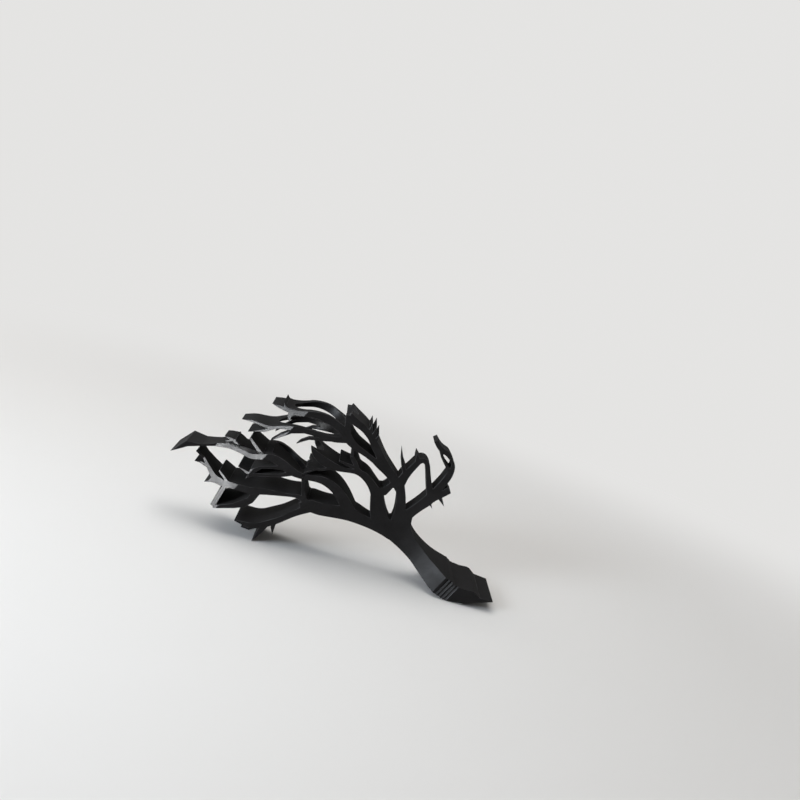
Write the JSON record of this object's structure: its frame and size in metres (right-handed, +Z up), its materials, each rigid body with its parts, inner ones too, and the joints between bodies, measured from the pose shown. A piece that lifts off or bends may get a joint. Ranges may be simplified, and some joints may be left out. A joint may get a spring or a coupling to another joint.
{
  "type": "balancing wine bottle holder",
  "caption": "Tree-shaped stand in one piece: a trunk that leans on a small root, and a crown of thin boughs with a bore that takes a bottle's neck and holds it in balance.",
  "frame": {"origin": "middle of the bounding box, at its bottom, with the holder at rest on its root and its lowest twig as it lies without a bottle", "axes": "+Z up from the table, +X from the crown's tips to the root, -Y to the front; the trunk and the bore's axis lie in the XZ plane"},
  "size_m": [0.2252, 0.05, 0.0989],
  "materials": {
    "black_plastic": "near-black satin, with fine printed layers"
  },
  "bodies": {
    "root": {"tree_holder": "black_plastic"}
  },
  "joints": []
}
